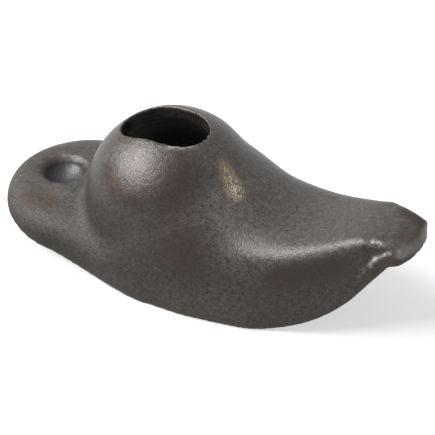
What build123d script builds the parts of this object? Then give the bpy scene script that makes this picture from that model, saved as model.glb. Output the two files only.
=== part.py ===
from build123d import *
from math import cos, radians, sin, tan
import os

# Stamped ball-pivot rocker arm, one piece of formed sheet steel.
# Origin at the centre of the pivot ball. +X runs to the valve tip, -X to the
# pushrod cup, +Z to the side that faces the cylinder head in service.

# Sheet and walls
sheet = 2.8                    # thickness of the formed sheet
wall_draft = 7.5               # lean of the side walls, degrees
tightest_bend = 2.0            # smallest radius inside the sheet's bends

# Ball seat and stud slot
dome_radius = 17.1             # outside of the ball seat
dome_foot = 3.0                # blend between the dome and the pan
dome_side = 2.15               # rim beyond the dome, to each side
crest_fall = 4.6               # crest of the pan below the top of the dome
slot_width = 11.9
slot_length = 18.0
slot_shift = 0.7               # slot centre from the pivot, toward the valve
slot_lean = 9.4                # lean of the stud axis toward the pushrod, degrees

# Pushrod cup
cup_x = -25.7
cup_radius = 4.0
cup_depth = 3.4
cup_wall = 1.8                 # metal left under the cup
oil_hole = 1.8

# Rim, seen from the side
rim_drop = 13.1                # level rim below the pivot centre
rim_climb = 6.95               # climb of the rim toward the pushrod end, degrees
level_start = 3.0              # where the climbing rim meets the level rim
level_end = 24.0               # where the level rim turns up to the valve tip
upturn_radius = 24.5           # arc of the rim after the level part
upturn_angle = 55              # degrees of that arc, then straight
nose_x = 49.2                  # where the rim bends under the valve tip

# Places along the pan
paddle_x = -20.1               # centre of the round pushrod end
heel_x = -11.0
pivot_x = -1.0
crest_x = 6.0
flank_x = 14.0
brow_x = 17.0
saddle_x = 26.5
waist_x = 36.5
pad_x = 47.0
tip_x = 53.0                   # end of the valve tip on the centre line
tip_end_radius = 11.0          # round of the tip's end in plan

# Half widths at the level of the rim
paddle_half_width = 17.0
pivot_half_width = dome_radius + dome_side
flank_half_width = 18.0
saddle_half_width = 15.5
waist_half_width = 12.5
pad_half_width = 9.5
tip_half_width = 8.4

# Heights of the top on the centre line
paddle_top = -3.0
heel_top = -1.2
crest_top = dome_radius - crest_fall
brow_top = 8.7
saddle_top = 5.0
waist_top = 6.8
pad_top = 9.7
tip_top = 8.3

# Tilt of the crown where it meets the corner, degrees, and radius of the corner
paddle_tilt = 10
heel_tilt = 25
pivot_tilt = 51
brow_tilt = 26
saddle_tilt = 10
tip_tilt = 2
paddle_corner = 4.0
pivot_corner = 10.0
brow_corner = 13.6
saddle_corner = 7.2
waist_corner = 3.4
tip_corner = 1.1

station_count = 13             # sections in the loft, evenly spaced
overrun = 3.0                  # metal lofted past the tip, then trimmed off
skirt = 7.0                    # metal lofted below the rim, then trimmed off
pan_end = tip_x + overrun


def law(*points):
    """Smooth guide through points given as (x, value), level at its start."""
    return Spline(*points, tangents=[(1, 0), (1, 0)], tangent_scalars=[1, 1])


def value_at(guide, x):
    """Value of a guide at x."""
    low, high = 0.0, 1.0
    for _ in range(40):
        middle = (low + high) / 2
        if (guide @ middle).X < x:
            low = middle
        else:
            high = middle
    return (guide @ low).Y


half_width_law = law(
    (paddle_x, paddle_half_width), (pivot_x, pivot_half_width), (flank_x, flank_half_width),
    (saddle_x, saddle_half_width), (waist_x, waist_half_width), (pad_x, pad_half_width),
    (pan_end, tip_half_width))
top_law = law(
    (paddle_x, paddle_top), (heel_x, heel_top), (crest_x, crest_top), (brow_x, brow_top),
    (saddle_x, saddle_top), (waist_x, waist_top), (pad_x, pad_top), (pan_end, tip_top))
tilt_law = law(
    (paddle_x, paddle_tilt), (heel_x, heel_tilt), (pivot_x, pivot_tilt), (brow_x, brow_tilt),
    (saddle_x, saddle_tilt), (pan_end, tip_tilt))
corner_law = law(
    (paddle_x, paddle_corner), (pivot_x, pivot_corner), (brow_x, brow_corner),
    (saddle_x, saddle_corner), (waist_x, waist_corner), (pan_end, tip_corner))


def half_section(x, inset):
    """Right half of the pan's section at x, moved in by inset: (y, z) of each joint."""
    draft = radians(wall_draft)
    tilt = radians(value_at(tilt_law, x))
    corner = max(value_at(corner_law, x) - inset, tightest_bend)
    top = value_at(top_law, x) - inset
    half_width = value_at(half_width_law, x) - inset / cos(draft)
    reach = half_width * cos(draft) - rim_drop * sin(draft) - top * sin(draft)
    lift = sin(tilt + draft)
    crown = (reach - corner * (1 - lift)) / (lift - sin(draft))
    crown_z = top - crown
    corner_y = (crown - corner) * sin(tilt)
    corner_z = crown_z + (crown - corner) * cos(tilt)
    middle = (tilt + radians(90) - draft) / 2
    return {
        "top": (0, top),
        "quarter": (crown * sin(tilt / 2), crown_z + crown * cos(tilt / 2)),
        "shoulder": (crown * sin(tilt), crown_z + crown * cos(tilt)),
        "corner": (corner_y + corner * sin(middle), corner_z + corner * cos(middle)),
        "wall": (corner_y + corner * cos(draft), corner_z + corner * sin(draft)),
        "foot": (half_width + skirt * tan(draft), -rim_drop - skirt),
    }


def mirrored(point):
    return (-point[0], point[1])


def pan_form(inset):
    """Pan without the dome: a lofted channel, with the paddle's end turned on its centre."""
    with BuildPart() as pan:
        for number in range(station_count):
            x = paddle_x + (pan_end - paddle_x) * number / (station_count - 1)
            p = half_section(x, inset)
            with BuildSketch(Plane.YZ.offset(x)):
                with BuildLine():
                    ThreePointArc(mirrored(p["shoulder"]), p["top"], p["shoulder"])
                    ThreePointArc(p["shoulder"], p["corner"], p["wall"])
                    Line(p["wall"], p["foot"])
                    Line(p["foot"], mirrored(p["foot"]))
                    Line(mirrored(p["foot"]), mirrored(p["wall"]))
                    ThreePointArc(mirrored(p["wall"]), mirrored(p["corner"]), mirrored(p["shoulder"]))
                make_face()
        loft()
        p = half_section(paddle_x, inset)
        with BuildSketch(Plane.YZ.offset(paddle_x)):
            with BuildLine():
                Line((0, -rim_drop - skirt), p["top"])
                ThreePointArc(p["top"], p["quarter"], p["shoulder"])
                ThreePointArc(p["shoulder"], p["corner"], p["wall"])
                Line(p["wall"], p["foot"])
                Line(p["foot"], (0, -rim_drop - skirt))
            make_face()
        revolve(axis=Axis((paddle_x, 0, 0), (0, 0, 1)), revolution_arc=180)
    return pan.part


paddle_crown_fall = (cup_x - paddle_x) ** 2 * tan(radians(paddle_tilt)) / (2 * paddle_half_width)
cup_centre = (cup_x, 0, paddle_top - paddle_crown_fall - cup_depth + cup_radius)

# The hollow under the sheet, open toward -Z, with the back of the cup left standing in it
with BuildPart() as hollow:
    add(pan_form(sheet))
    Sphere(dome_radius - sheet, rotation=(0, 0, 90))
    with Locations(cup_centre):
        Sphere(cup_radius + cup_wall, mode=Mode.SUBTRACT)

# Everything below the rim, seen from the side
back_x = paddle_x - 2 * paddle_half_width
back_z = -rim_drop + (level_start - back_x) * tan(radians(rim_climb))
upturn_x = level_end + upturn_radius * sin(radians(upturn_angle))
upturn_z = -rim_drop + upturn_radius * (1 - cos(radians(upturn_angle)))
nose_z = upturn_z + (nose_x - upturn_x) * tan(radians(upturn_angle))
tip_under = value_at(top_law, tip_x) - sheet
deep_z = -rim_drop - 2 * skirt
with BuildPart() as below_rim:
    with BuildSketch(Plane.XZ):
        with BuildLine():
            Line((back_x, back_z), (level_start, -rim_drop))
            Line((level_start, -rim_drop), (level_end, -rim_drop))
            RadiusArc((level_end, -rim_drop), (upturn_x, upturn_z), -upturn_radius)
            Polyline(
                (upturn_x, upturn_z), (nose_x, nose_z), (tip_x, tip_under), (2 * tip_x, tip_under),
                (2 * tip_x, deep_z), (back_x, deep_z), (back_x, back_z))
        make_face()
    extrude(amount=2 * pivot_half_width, both=True)

# Everything past the round end of the valve tip, in plan
with BuildPart() as past_tip:
    with BuildSketch():
        with Locations((tip_x, 0)):
            Rectangle(tip_end_radius, 2 * pivot_half_width)
        with Locations((tip_x - tip_end_radius, 0)):
            Circle(tip_end_radius, mode=Mode.SUBTRACT)
    extrude(amount=2 * pivot_half_width, both=True)

stud_axis = Plane(
    origin=(0, 0, 0),
    x_dir=(cos(radians(slot_lean)), 0, sin(radians(slot_lean))),
    z_dir=(-sin(radians(slot_lean)), 0, cos(radians(slot_lean))))

with BuildPart() as rocker_arm:
    add(pan_form(0))
    Sphere(dome_radius, rotation=(0, 0, 90))
    dome = faces().filter_by(GeomType.SPHERE).sort_by(Axis.Z)[-1]
    fillet(dome.edges().filter_by(GeomType.BSPLINE), dome_foot)
    add(hollow.part, mode=Mode.SUBTRACT)
    add(below_rim.part, mode=Mode.SUBTRACT)
    add(past_tip.part, mode=Mode.SUBTRACT)
    with BuildSketch(stud_axis):
        with Locations((slot_shift, 0)):
            SlotOverall(slot_length, slot_width)
    extrude(amount=dome_radius + sheet, mode=Mode.SUBTRACT)
    with Locations(cup_centre):
        Sphere(cup_radius, mode=Mode.SUBTRACT)
    with Locations((cup_x, 0, 0)):
        Cylinder(oil_hole / 2, 4 * rim_drop, mode=Mode.SUBTRACT)

rocker_arm.part.label = "rocker_arm"
os.makedirs("parts", exist_ok=True)
export_step(rocker_arm.part, "parts/rocker_arm.step")
print("volume", round(rocker_arm.part.volume), "valid", rocker_arm.part.is_valid, len(rocker_arm.part.solids()))
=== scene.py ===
from math import radians

import bpy
import numpy as np
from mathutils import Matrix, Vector


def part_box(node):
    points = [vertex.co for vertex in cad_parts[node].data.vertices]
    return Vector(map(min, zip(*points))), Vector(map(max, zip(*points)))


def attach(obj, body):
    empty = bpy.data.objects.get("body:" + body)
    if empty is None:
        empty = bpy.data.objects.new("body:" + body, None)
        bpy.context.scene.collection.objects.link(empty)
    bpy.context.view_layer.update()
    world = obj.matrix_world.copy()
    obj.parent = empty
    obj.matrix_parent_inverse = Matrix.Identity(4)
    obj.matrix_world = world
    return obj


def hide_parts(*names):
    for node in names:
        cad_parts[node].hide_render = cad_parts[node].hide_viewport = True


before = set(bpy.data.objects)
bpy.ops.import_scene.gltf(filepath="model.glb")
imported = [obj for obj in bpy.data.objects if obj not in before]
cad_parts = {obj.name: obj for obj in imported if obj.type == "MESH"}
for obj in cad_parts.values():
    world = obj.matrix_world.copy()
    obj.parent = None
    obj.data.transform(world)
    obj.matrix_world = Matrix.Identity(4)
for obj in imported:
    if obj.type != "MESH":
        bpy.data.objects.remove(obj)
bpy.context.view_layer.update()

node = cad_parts["rocker_arm"]
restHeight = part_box("rocker_arm")[0].z       # the level rims lie on the floor


def pick(obj):
    # operators act on all that is selected, so only one object is
    bpy.ops.object.select_all(action="DESELECT")
    obj.select_set(True)
    bpy.context.view_layer.objects.active = obj


def applyModifier(obj, kind, **settings):
    modifier = obj.modifiers.new(kind.title(), kind)
    for name, value in settings.items():
        setattr(modifier, name, value)
    pick(obj)
    bpy.ops.object.modifier_apply(modifier=modifier.name)


def numbered(values):
    return {f"i{number}": value for number, value in enumerate(values)}


def grey(level):
    return (level, level, level)


class Socket:
    # one output of a node; the operators add Math nodes

    def __init__(self, tree, out=None):
        self.tree = tree
        self.out = out

    def node(self, kind, settings=None, **inputs):
        # an input goes by its number, as i0, or by its name, as Base_Color
        made = self.tree.nodes.new(kind)
        for name, value in (settings or {}).items():
            setattr(made, name, value)
        for name, value in inputs.items():
            key = int(name[1:]) if name[1:].isdigit() else name.replace("_", " ")
            self.plug(made.inputs[key], value)
        return made

    def plug(self, socket, value):
        if isinstance(value, Socket):
            self.tree.links.new(value.out, socket)
        elif socket.type == "RGBA" and len(value) == 3:
            socket.default_value = (*value, 1)
        else:
            socket.default_value = value

    def read(self, made, output=0):
        return Socket(self.tree, made.outputs[output])

    def maths(self, operation, *values):
        return self.read(self.node("ShaderNodeMath", {"operation": operation}, **numbered(values)))

    def vector(self, operation, *values, output=0, **inputs):
        settings = {"operation": operation}
        return self.read(self.node("ShaderNodeVectorMath", settings, **numbered(values), **inputs), output)

    def __add__(self, other):
        return self.maths("ADD", self, other)

    def __sub__(self, other):
        return self.maths("SUBTRACT", self, other)

    def __mul__(self, other):
        return self.maths("MULTIPLY", self, other)

    def __rsub__(self, other):
        return self.maths("SUBTRACT", other, self)

    __radd__ = __add__
    __rmul__ = __mul__

    def between(self, low, high):
        # 0 at low, 1 at high, held outside
        return self.read(self.node("ShaderNodeMapRange", {"clamp": True, "interpolation_type": "SMOOTHSTEP"},
                                   Value=self, From_Min=low, From_Max=high))

    def mixed(self, first, second):
        # first where this value is 0, second where it is 1
        return self.read(self.node("ShaderNodeMix", {"data_type": "RGBA"}, i0=self, i6=first, i7=second), 2)

    def scaled(self, factor):
        # a colour or vector times a number
        return self.vector("SCALE", self, Scale=factor)

    def noise(self, size, detail, roughness=0.5):
        # noise at this place, with features of a size in metres
        return self.read(self.node("ShaderNodeTexNoise", Vector=self, Scale=1 / size, Detail=detail,
                                   Roughness=roughness), "Fac")

    def streaks(self, direction, width, length):
        # noise drawn out along a direction
        far = self.vector("DOT_PRODUCT", self, direction, output="Value")
        across = self.vector("SUBTRACT", self, self.vector("SCALE", direction, Scale=far))
        along = self.vector("SCALE", direction, Scale=far * (width / length))
        return self.vector("ADD", across, along).noise(width, 1.0)

    def finish(self, name):
        # a number kept on the points of the mesh
        return self.read(self.node("ShaderNodeAttribute", {"attribute_name": name}), "Fac")

    def place(self):
        return self.read(self.node("ShaderNodeTexCoord"), "Object")

    def seen(self):
        # 1 for what the camera sees straight, mirrored or through glass, 0 for light that bounces
        path = self.node("ShaderNodeLightPath")
        found = self.read(path, "Is Camera Ray")
        for kind in ("Is Glossy Ray", "Is Transmission Ray"):
            found = self.maths("MAXIMUM", found, self.read(path, kind))
        return found


def newMaterial(name):
    material = bpy.data.materials.new(name)
    material.use_nodes = True
    material.node_tree.nodes.clear()
    return material, Socket(material.node_tree)


# the arm

# A soft line, swell or stroke of wear or painted light is a chain of (x, y, z) in metres, with its reach.
# The soft lines and the swells lie on both sides, so their y is the distance from the middle plane.
rockerArm = {
    "weldDistance": 1e-6,
    "voxel": 0.00027,
    "firstSmooth": {"factor": 0.5, "iterations": 10},
    "mostTriangles": 190000,
    # closes the oil hole in the cup
    "plug": {"radius": 0.0013, "depth": 0.0016, "location": (-0.0257, 0, -0.00745)},
    # the cup opens wider than the solid's, by the full growth until 1 / steepness of the reach is left
    "cup": {"middle": (-0.0257, 0, -0.0036), "growth": 0.18, "reach": 0.0090, "steepness": 2},
    # the cut end leans back most at the middle of its top
    "tipEnd": {"slant": 0.0019, "foot": 0.0058, "height": 0.0028, "halfWidth": 0.0056, "start": 0.0480,
               "run": 0.0035},
    "creases": {
        "rounds": 165,
        "lines": [
            # paddle edge
            ([(-0.0351, 0, -0.0046), (-0.0330, 0.0075, -0.0046), (-0.0276, 0.0130, -0.0046),
              (-0.0201, 0.0150, -0.0046), (-0.0140, 0.0153, -0.0047), (-0.0090, 0.0157, -0.0040),
              (-0.0040, 0.0163, -0.0015)], 0.0055),
            # foot of the dome
            ([(-0.0125, 0.0110, -0.0037), (-0.0080, 0.0145, -0.0030), (-0.0030, 0.0162, -0.0003),
              (0.0030, 0.0160, 0.0040), (0.0080, 0.0135, 0.0075), (0.0110, 0.0100, 0.0097),
              (0.0130, 0.0050, 0.0110), (0.0133, 0, 0.0112)], 0.0060),
            # ridge beside the saddle
            ([(0.0200, 0.0132, 0.0020), (0.0240, 0.0125, 0.0019), (0.0280, 0.0118, 0.0025),
              (0.0320, 0.0107, 0.0037), (0.0360, 0.0094, 0.0054), (0.0400, 0.0081, 0.0072)], 0.0045),
            # mouth of the cup
            ([(-0.0297, 0, -0.0034), (-0.0285, 0.0028, -0.0034), (-0.0257, 0.00395, -0.0033),
              (-0.0229, 0.0028, -0.0032), (-0.0218, 0, -0.0032)], 0.0014),
        ],
    },
    # lower edge of the walls seen from the side, as (x, z)
    "rim": {
        "line": [(-0.0380, -0.0081), (0.0030, -0.0131), (0.0240, -0.0131), (0.0280, -0.01277),
                 (0.0320, -0.01176), (0.0360, -0.00996), (0.0400, -0.00715), (0.0440, -0.0027),
                 (0.0480, 0.0030)],
        "reach": 0.0012,
        "fade": 0.0030,
        "rounds": 20,
    },
    "softening": 0.9,            # factor of the smoothing at the creases and the rim
    "softeningGain": 1.6,        # a point with weight above 1 / gain is smoothed in full
    # chain, reach, height
    "swells": [
        # paddle edge
        ([(-0.0351, 0, -0.0060), (-0.0276, 0.0130, -0.0060), (-0.0201, 0.0150, -0.0060),
          (-0.0140, 0.0153, -0.0060)], 0.0070, 0.0005),
        # belly of the walls
        ([(0.0130, 0.0182, -0.0131), (0.0180, 0.0174, -0.0131), (0.0230, 0.0164, -0.0131)], 0.0080, 0.0008),
        # shoulders of the saddle
        ([(0.0231, 0.0127, 0.0019), (0.0267, 0.0120, 0.0022), (0.0308, 0.0111, 0.0033),
          (0.0344, 0.0095, 0.0050), (0.0388, 0.0085, 0.0067), (0.0420, 0.0075, 0.0081)], 0.0040, 0.0004),
        # lip under the tip, and the hollow above it
        ([(0.0485, 0.0066, 0.0068), (0.0471, 0.0070, 0.0057), (0.0457, 0.0076, 0.0035),
          (0.0446, 0.0082, 0.0015)], 0.0012, 0.00045),
        ([(0.0463, 0.0070, 0.0070), (0.0478, 0.0067, 0.0077)], 0.0016, -0.0003),
    ],
    # strokes of each kind of wear and painted light, in the order that makeSteel takes them: dull steel, a
    # painted ridge highlight, gold scratches with a painted glint, brown film, painted shade, bright nicks
    # with painted highlights, the cut end and the cup with its painted shade and bluish sheen
    "wear": {
        "dull": [([(-0.0351, 0, -0.0046), (-0.0276, -0.0130, -0.0046), (-0.0201, -0.0150, -0.0046),
                   (-0.0140, -0.0153, -0.0047), (-0.0078, -0.0151, -0.0020)], 0.0100)],
        # painted highlight: a lighter band down the saddle's near side and along the ridge
        "ridgeHighlight": [([(0.0115, -0.0034, 0.0122), (0.0158, -0.0065, 0.0082), (0.0193, -0.0092, 0.0054),
                     (0.0239, -0.0097, 0.0039), (0.0316, -0.0086, 0.0047), (0.0389, -0.0070, 0.0074)],
                    0.0045)],
        # a golden heat tint with scratches, painted bright as a glint
        "goldAndGlint": [([(0.0125, -0.0018, 0.0116), (0.0145, -0.0030, 0.0099), (0.0163, -0.0044, 0.0086)],
                  0.0027)],
        "brown": [([(-0.0272, -0.0108, -0.0041), (-0.0228, -0.0106, -0.0038)], 0.0038),
                  ([(-0.0052, -0.0131, 0.0096), (-0.0042, -0.0142, 0.0086), (-0.0013, -0.0146, 0.0087)],
                   0.0016),
                  ([(-0.0080, -0.0060, 0.0138), (-0.0050, -0.0072, 0.0145)], 0.0014),
                  ([(0.0500, -0.0024, 0.0091), (0.0508, 0, 0.0091), (0.0514, 0.0026, 0.0088)], 0.0020),
                  ([(0.0497, -0.0065, 0.0062), (0.0470, -0.0074, 0.0030), (0.0455, -0.0080, 0.0000)],
                   0.0016)],
        # painted shade: darker at the tip's far corner, below the dome's highlight, in the cup, on the
        # dome's flank toward the saddle and on the wall below the ridge
        "paintedShade": [([(0.0476, 0.0044, 0.0094), (0.0498, 0.0046, 0.0091), (0.0508, 0.0042, 0.0090)],
                   0.0028),
                  ([(-0.0072, -0.0118, 0.0096), (-0.0040, -0.0143, 0.0084), (0.0010, -0.0152, 0.0078)],
                   0.0036),
                  ([(-0.0290, 0.0015, -0.0050), (-0.0270, -0.0015, -0.0062)], 0.0036),
                  ([(0.0065, -0.0095, 0.0125), (0.0070, -0.0125, 0.0095), (0.0095, -0.0140, 0.0050),
                    (0.0120, -0.0150, -0.0010)], 0.0085),
                  ([(0.0300, -0.0125, -0.0010), (0.0400, -0.0100, 0.0030)], 0.0045)],
        # painted highlights on the tip's near edge, on the lip below it and on the slot's near lip, and two
        # bright nicks
        "brightWearAndHighlights": [([(0.0458, -0.0064, 0.0089), (0.0474, -0.0062, 0.0089)], 0.0010),
                 ([(0.0461, -0.0074, 0.0046), (0.0468, -0.0071, 0.0060)], 0.0008),
                 ([(0.0486, -0.0064, 0.0074), (0.0492, -0.0063, 0.0078)], 0.0007),
                 ([(0.0030, -0.0061, 0.0157), (0.0056, -0.0046, 0.0156), (0.0068, -0.0034, 0.0155)],
                  0.0009),
                 ([(0.0270, -0.0074, 0.0045), (0.0274, -0.0071, 0.0045)], 0.0004),
                 ([(0.0186, -0.0003, 0.0078), (0.0188, -0.0002, 0.0078)], 0.0004)],
        "cut": [([(0.0512, -0.0056, 0.0080), (0.0526, -0.0020, 0.0076), (0.0530, 0.0010, 0.0072),
                 (0.0524, 0.0042, 0.0074)], 0.0017)],
        # painted shade in the cup, with a painted bluish sheen
        "cup": [([(-0.0257, 0, -0.0050), (-0.0257, 0, -0.0030)], 0.0062)],
    },
    "sharpBend": 0.3,            # mean slope of the skin down from a point that counts as fully sharp
    "steel": {
        # painted light and shade: surfaces that face up take the lighter colour, those that face sideways
        # the darker
        "side": (0.036, 0.031, 0.027),
        "top": (0.070, 0.063, 0.057),
        # bright worn metal, also the colour of the painted highlights
        "brightWearAndHighlights": (0.30, 0.285, 0.27),
        "brown": (0.055, 0.035, 0.021),
        # painted shade and bluish sheen of the cup
        "cup": (0.044, 0.046, 0.060),
        # painted shade
        "paintedShade": (0.030, 0.020, 0.016),
        # painted shade on surfaces that face down, such as the inside of the dome
        "under": (0.010, 0.009, 0.009),
        # bright gold of the tint and the painted glint
        "goldAndGlint": (0.40, 0.30, 0.19),
        "cut": (0.17, 0.155, 0.14),
        "metallic": 0.60,
        "rough": 0.42,
    },
    "grain": {
        "cloud": {"size": 0.010, "detail": 3.0},
        "speck": {"size": 0.00032, "detail": 1.0},
        "leather": {"size": 0.0010, "detail": 4.0, "roughness": 0.66},
    },
    "scratch": {"direction": (0.70, -0.45, -0.55), "width": 0.00011, "length": 0.0020},
    # how strongly each noise, and the painted ridge highlight, changes the steel's colour
    "mottle": {"cloud": 0.5, "speck": 1.9, "leather": 1.8, "ridgeHighlight": 0.12},
    # where each mask is 0 and where it is 1
    "span": {"top": (0.0, 0.9), "under": (-0.1, -0.8), "paintedShade": (0.0, 0.9), "cup": (0.0, 0.8),
             "brown": (0.0, 1.0), "goldAndGlint": (0.0, 1.0), "cut": (0.0, 0.7), "brightWearAndHighlights": (0.0, 0.9),
             "edge": (0.3, 1.0), "dull": (0.0, 0.7), "scratches": (0.48, 0.64)},
    # the same for the noise that breaks a kind of wear into patches
    "patches": {"brown": (0.34, 0.60), "cut": (0.25, 0.55), "brightWearAndHighlights": (0.30, 0.60), "edge": (0.35, 0.6)},
    # how far each kind of wear, painted light and painted shade goes toward its colour; scratches is what
    # they add to the gold and glint
    "share": {"under": 0.6, "paintedShade": 0.75, "cup": 0.6, "brown": 0.9, "scratches": 0.85, "goldAndGlint": 0.12,
              "cut": 0.8, "brightWearAndHighlights": 0.8, "edge": 0.35},
    # what each adds to the roughness
    "roughness": {"ridgeHighlight": 0.10, "leather": 0.36, "dull": 0.32, "cup": 0.04, "brightWearAndHighlights": -0.1},
    # height of each in the bump
    "relief": {"speck": 0.5, "leather": 1.2},
    "bump": {"Strength": 0.55, "Distance": 0.00016},
}


def toLine(points, line):
    # distance of each point from a chain of straight pieces
    best = np.full(len(points), 1.0)
    for start, end in zip(line, line[1:]):
        along = np.subtract(end, start)
        share = np.clip((points - start) @ along / (along @ along), 0, 1)
        best = np.minimum(best, np.linalg.norm(points - start - share[:, None] * along, axis=1))
    return best


def placesOf(arm, field="co"):
    values = np.empty(len(arm.data.vertices) * 3)
    arm.data.vertices.foreach_get(field, values)
    return values.reshape(-1, 3)


def shapeDetails(arm):
    points, normals = placesOf(arm), placesOf(arm, "normal")
    folded = points * (1, 0, 1)
    folded[:, 1] = abs(points[:, 1])
    for line, reach, height in rockerArm["swells"]:
        share = np.clip(1 - toLine(folded, line) / reach, 0, 1)
        points += normals * (height * share * share * (3 - 2 * share))[:, None]
    points[:, 2] = np.maximum(points[:, 2], restHeight)
    cup, end = rockerArm["cup"], rockerArm["tipEnd"]
    fromMiddle = points - cup["middle"]
    share = np.clip(1 - np.linalg.norm(fromMiddle, axis=1) / cup["reach"], 0, 1)
    points += fromMiddle * (1, 1, 0) * (cup["growth"] * np.minimum(1, share * cup["steepness"]))[:, None]
    height = np.clip((points[:, 2] - end["foot"]) / end["height"], 0, 1)
    across = np.clip(1 - (points[:, 1] / end["halfWidth"]) ** 2, 0, 1)
    outward = np.clip((points[:, 0] - end["start"]) / end["run"], 0, 1)
    points[:, 0] -= end["slant"] * height * across * outward
    arm.data.vertices.foreach_set("co", points.ravel())
    arm.data.update()


def smoothWhere(arm, name, weights):
    group = arm.vertex_groups.new(name=name)
    for number in np.flatnonzero(weights > 0):
        group.add([int(number)], min(1.0, weights[number] * rockerArm["softeningGain"]), "REPLACE")
    applyModifier(arm, "SMOOTH", factor=rockerArm["softening"], iterations=rockerArm[name]["rounds"],
                  vertex_group=name)


def softenCreases(arm):
    points = placesOf(arm)
    points[:, 1] = abs(points[:, 1])
    weights = np.zeros(len(points))
    for line, reach in rockerArm["creases"]["lines"]:
        weights = np.maximum(weights, 1 - toLine(points, line) / reach)
    smoothWhere(arm, "creases", weights)
    # the remesh leaves small steps along the rim
    rim = rockerArm["rim"]
    alongRim, rimHeight = zip(*rim["line"])
    climb = abs(points[:, 2] - np.interp(points[:, 0], alongRim, rimHeight))
    weights = (1 - climb / rim["reach"]) * np.clip((alongRim[-1] - points[:, 0]) / rim["fade"], 0, 1)
    smoothWhere(arm, "rim", weights)


def addFinish(arm):
    # one number a point for each kind of wear, painted light and painted shade, for the material
    points, normals = placesOf(arm), placesOf(arm, "normal")
    finish = {"upward": normals[:, 2]}
    for name, strokes in rockerArm["wear"].items():
        finish[name] = np.max([np.clip(1 - toLine(points, line) / reach, 0, 1) for line, reach in strokes],
                              axis=0)
    ends = np.empty(len(arm.data.edges) * 2, int)
    arm.data.edges.foreach_get("vertices", ends)
    first, second = ends.reshape(-1, 2).T
    along = points[second] - points[first]
    along /= np.linalg.norm(along, axis=1)[:, None]
    bend, count = np.zeros(len(points)), np.bincount(ends, minlength=len(points))
    np.add.at(bend, first, -(normals[first] * along).sum(axis=1))
    np.add.at(bend, second, (normals[second] * along).sum(axis=1))
    finish["edge"] = np.clip(bend / count / rockerArm["sharpBend"], 0, 1)
    for name, values in finish.items():
        layer = arm.data.attributes.new(name, "FLOAT", "POINT")
        layer.data.foreach_set("value", values.astype(np.float32))


def makeSteel():
    steel, share, span, patches = (rockerArm[key] for key in ("steel", "share", "span", "patches"))
    mottle, roughness, relief = (rockerArm[key] for key in ("mottle", "roughness", "relief"))
    material, start = newMaterial("rockerSteel")
    place = start.place()
    cloud, speck, leather = (place.noise(**settings) for settings in rockerArm["grain"].values())
    scratches = place.streaks(**rockerArm["scratch"]).between(*span["scratches"])
    up, edge = start.finish("upward"), start.finish("edge")
    dull, ridgeHighlight, goldAndGlint, brown, paintedShade, brightWearAndHighlights, cut, cup = (start.finish(name) for name in rockerArm["wear"])

    # painted light and shade: lighter on the tops and darker on the sides, as the light falls; the cloud
    # noise varies it
    lit = up.between(*span["top"]) + cloud * mottle["cloud"] - mottle["cloud"] / 2
    colour = lit.mixed(steel["side"], steel["top"])
    # grain varies the colour; the ridge stroke lightens it as a painted highlight
    colour = colour.scaled(1 + (speck - 0.5) * mottle["speck"] + (leather - 0.5) * mottle["leather"]
                           + ridgeHighlight * mottle["ridgeHighlight"])
    worn = edge.between(*span["edge"]) * cloud.between(*patches["edge"]) * share["edge"]
    nicksAndHighlights = brightWearAndHighlights.between(*span["brightWearAndHighlights"]) * leather.between(*patches["brightWearAndHighlights"]) * share["brightWearAndHighlights"]
    # each layer goes over the ones before it
    layers = [
        # painted shade on surfaces that face down
        ("under", up.between(*span["under"]) * share["under"]),
        # painted shade from the strokes
        ("paintedShade", paintedShade.between(*span["paintedShade"]) * share["paintedShade"]),
        # painted shade and bluish sheen in the cup
        ("cup", cup.between(*span["cup"]) * share["cup"]),
        ("brown", brown.between(*span["brown"]) * leather.between(*patches["brown"]) * share["brown"]),
        # golden tint and scratches, painted bright as a glint
        ("goldAndGlint", goldAndGlint.between(*span["goldAndGlint"]) * (scratches * share["scratches"] + share["goldAndGlint"])),
        ("cut", cut.between(*span["cut"]) * leather.between(*patches["cut"]) * share["cut"]),
        # bright worn edges and nicks, and painted highlights
        ("brightWearAndHighlights", start.maths("MAXIMUM", worn, nicksAndHighlights)),
    ]
    for name, mask in layers:
        colour = mask.mixed(colour, steel[name])

    rough = (steel["rough"] + ridgeHighlight * roughness["ridgeHighlight"] + (leather - 0.5) * roughness["leather"]
             + dull.between(*span["dull"]) * roughness["dull"] + cup * roughness["cup"]
             + brightWearAndHighlights * roughness["brightWearAndHighlights"])
    height = speck * relief["speck"] + leather * relief["leather"] - scratches * goldAndGlint
    bump = start.node("ShaderNodeBump", Height=height, **rockerArm["bump"])
    shader = start.node("ShaderNodeBsdfPrincipled", Base_Color=colour, Metallic=steel["metallic"],
                        Roughness=rough, Normal=start.read(bump))
    start.node("ShaderNodeOutputMaterial", Surface=start.read(shader))
    print("steel made")
    return material


def plainArm():
    # the solid's own mesh as one even skin, with the oil hole closed
    arm = bpy.data.objects.new("rockerArm", node.data.copy())
    bpy.context.scene.collection.objects.link(arm)
    pick(arm)
    bpy.ops.object.mode_set(mode="EDIT")
    bpy.ops.mesh.select_all(action="SELECT")
    bpy.ops.mesh.remove_doubles(threshold=rockerArm["weldDistance"])
    bpy.ops.object.mode_set(mode="OBJECT")
    bpy.ops.object.select_all(action="DESELECT")
    bpy.ops.mesh.primitive_cylinder_add(**rockerArm["plug"])
    arm.select_set(True)
    bpy.context.view_layer.objects.active = arm
    bpy.ops.object.join()
    applyModifier(arm, "REMESH", mode="VOXEL", voxel_size=rockerArm["voxel"], adaptivity=0.0)
    applyModifier(arm, "SMOOTH", **rockerArm["firstSmooth"])
    print("arm remeshed,", len(arm.data.polygons), "faces")
    return arm


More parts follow.
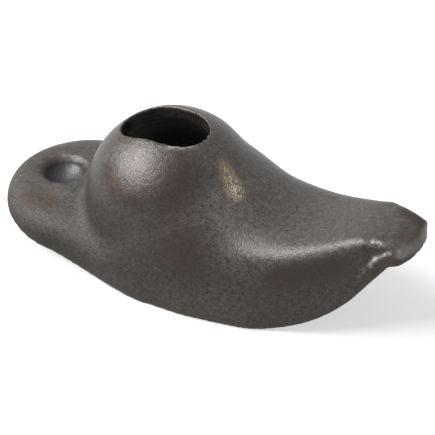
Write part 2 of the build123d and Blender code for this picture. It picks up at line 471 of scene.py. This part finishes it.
def makeArm():
    arm = plainArm()
    shapeDetails(arm)
    softenCreases(arm)
    print("arm shaped")
    applyModifier(arm, "DECIMATE", ratio=rockerArm["mostTriangles"] / (2 * len(arm.data.polygons)))
    print("arm thinned,", len(arm.data.polygons), "faces")
    addFinish(arm)
    pick(arm)
    bpy.ops.object.shade_smooth()
    arm.data.materials.clear()
    arm.data.materials.append(makeSteel())
    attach(arm, "root")
    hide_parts("rocker_arm")
    print("arm finished")


# floor, light and camera

stageLook = {
    "floorSize": 1.6,
    "floorMiddle": 0.002,
    "floorWhite": 0.48,
    "floorGlow": 0.60,
    "floorBounce": 0.30,         # the floor's grey for light that bounces
    # painted shadow: no glow in an oval under the arm, so the floor is darker there, and full glow outside
    # it; half its length, half its width, and the share of the way out where the glow starts and where it is
    # full
    "shadeLong": 0.036,
    "shadeWide": 0.015,
    "shadeEdge": (0.75, 1.0),
    "worldFill": 0.35,
    "keyFrom": (-0.586, -0.355, 0.729),
    "keyFar": 0.9,
    "keySize": 0.70,
    "keyPower": 17.0,
}

cameraLook = {
    "azimuth": 29.035,
    "elevation": 37.29,
    "distance": 0.4,
    "aim": (0.0090, 0.0015, -0.0040),
    "lens": 168.8,
    "clipStart": 0.01,
}


def makeFloor():
    bpy.ops.object.select_all(action="DESELECT")
    bpy.ops.mesh.primitive_plane_add(size=stageLook["floorSize"],
                                     location=(stageLook["floorMiddle"], 0, restHeight))
    floor = bpy.context.object
    floor.name = "floor"
    material, start = newMaterial("paleFloor")
    seen = start.seen()
    colour = seen.mixed(grey(stageLook["floorBounce"]), grey(stageLook["floorWhite"]))
    oval = (1 / stageLook["shadeLong"], 1 / stageLook["shadeWide"], 0)
    farOut = start.vector("LENGTH", start.vector("MULTIPLY", start.place(), oval), output="Value")
    # painted shadow: the floor is darker in the oval under the arm
    glow = (seen * farOut.between(*stageLook["shadeEdge"])).mixed(grey(0), grey(stageLook["floorGlow"]))
    shader = start.node("ShaderNodeBsdfPrincipled", Base_Color=colour, Roughness=1.0,
                        Specular_IOR_Level=0.0, Emission_Color=glow, Emission_Strength=1.0)
    start.node("ShaderNodeOutputMaterial", Surface=start.read(shader))
    floor.data.materials.append(material)
    print("floor laid")


def makeWorld():
    world = bpy.data.worlds.new("studio")
    bpy.context.scene.world = world
    world.use_nodes = True
    world.node_tree.nodes.clear()
    start = Socket(world.node_tree)
    colour = start.seen().mixed(grey(stageLook["worldFill"]), grey(1))
    shader = start.node("ShaderNodeBackground", Color=colour, Strength=1.0)
    start.node("ShaderNodeOutputWorld", Surface=start.read(shader))
    print("world lit")


def makeLights():
    towards = Vector(stageLook["keyFrom"])
    bpy.ops.object.light_add(type="AREA", location=towards * stageLook["keyFar"])
    key = bpy.context.object
    key.name = "keyLight"
    key.data.size = stageLook["keySize"]
    key.data.energy = stageLook["keyPower"]
    key.rotation_euler = towards.to_track_quat("Z", "Y").to_euler()
    print("key light hung")


def makeCamera():
    azimuth, elevation = radians(cameraLook["azimuth"]), radians(cameraLook["elevation"])
    bpy.ops.object.camera_add(rotation=(radians(90) - elevation, 0, azimuth))
    camera = bpy.context.object
    bpy.context.view_layer.update()
    back = camera.matrix_world.to_3x3() @ Vector((0, 0, 1))
    camera.location = Vector(cameraLook["aim"]) + back * cameraLook["distance"]
    camera.data.lens = cameraLook["lens"]
    camera.data.clip_start = cameraLook["clipStart"]
    bpy.context.scene.camera = camera
    print("camera placed")


makeArm()
makeFloor()
makeWorld()
makeLights()
makeCamera()
bpy.context.scene.view_settings.view_transform = "Standard"
